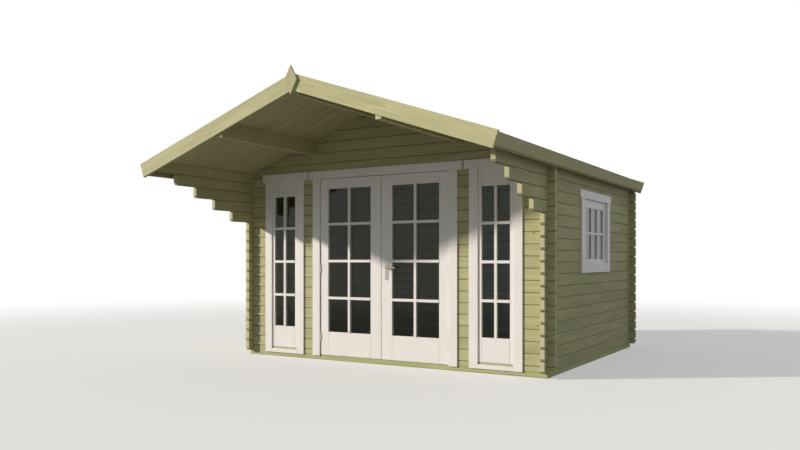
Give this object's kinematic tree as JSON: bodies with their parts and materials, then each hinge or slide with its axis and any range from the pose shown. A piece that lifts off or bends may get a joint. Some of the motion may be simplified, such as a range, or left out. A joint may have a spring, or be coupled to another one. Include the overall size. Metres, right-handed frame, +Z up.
{
  "type": "log cabin",
  "caption": "Garden log cabin with a gabled porch roof, glazed double door, tall fixed windows beside it and a side window.",
  "frame": {"origin": "middle of the roof's outline, on the level the foundation beams rest on", "axes": "+X to the right along the front wall, +Y from the porch to the rear wall, +Z up"},
  "size_m": [3.949, 4.568, 2.8111],
  "materials": {
    "treated_pine": "pressure-treated pine, satin",
    "white_paint": "white paint",
    "floor_pine": "planed pine",
    "glass": "clear",
    "felt": "mineral felt",
    "steel": "brushed"
  },
  "bodies": {
    "cabin": {"front_foundation_beam": "treated_pine", "rear_foundation_beam": "treated_pine", "side_foundation_beams": "treated_pine", "front_sill_logs": "treated_pine", "front_wall_left_end": "treated_pine", "front_wall_piers": "treated_pine", "front_wall_right_end": "treated_pine", "front_gable": "treated_pine", "rear_wall": "treated_pine", "left_wall": "treated_pine", "left_eaves_logs": "treated_pine", "right_wall": "treated_pine", "right_eaves_logs": "treated_pine", "ridge_purlin": "treated_pine", "side_purlins": "treated_pine", "left_roof_boards": "treated_pine", "right_roof_boards": "treated_pine", "eaves_fascias": "treated_pine", "eaves_battens": "treated_pine", "left_barge_boards": "treated_pine", "right_barge_boards": "treated_pine", "ridge_finials": "treated_pine", "door_jambs": "white_paint", "door_head": "white_paint", "door_threshold": "white_paint", "door_side_trims": "white_paint", "door_head_board": "white_paint", "left_window_frame": "white_paint", "left_window_surround": "white_paint", "right_window_frame": "white_paint", "right_window_surround": "white_paint", "side_window_frame": "white_paint", "side_window_surround": "white_paint", "floor": "floor_pine", "left_window_glass": "glass", "right_window_glass": "glass", "side_window_glass": "glass", "roofing_felt": "felt", "door_hinge_pins": "steel"},
    "left_door": {"left_door_leaf": "white_paint", "left_door_glass": "glass", "left_door_hinges": "steel"},
    "right_door": {"right_door_leaf": "white_paint", "right_door_glass": "glass", "right_door_hinges": "steel", "handle_plates": "steel"},
    "lever": {"door_lever": "steel"}
  },
  "joints": [
    {"name": "left_door_hinge", "type": "hinge", "parent": "cabin", "child": "left_door", "pos_m": [-0.7875, -0.806, 0], "axis": [0, 0, -1], "range_deg": [0, 110]},
    {"name": "right_door_hinge", "type": "hinge", "parent": "cabin", "child": "right_door", "pos_m": [0.7875, -0.806, 0], "axis": [0, 0, 1], "range_deg": [0, 110]},
    {"name": "lever_turn", "type": "hinge", "parent": "right_door", "child": "lever", "pos_m": [0.0685, -0.799, 1.015], "axis": [0, 1, 0], "range_deg": [0, 40], "stiffness_Nm_per_rad": 1, "springref_deg": -34.38}
  ]
}
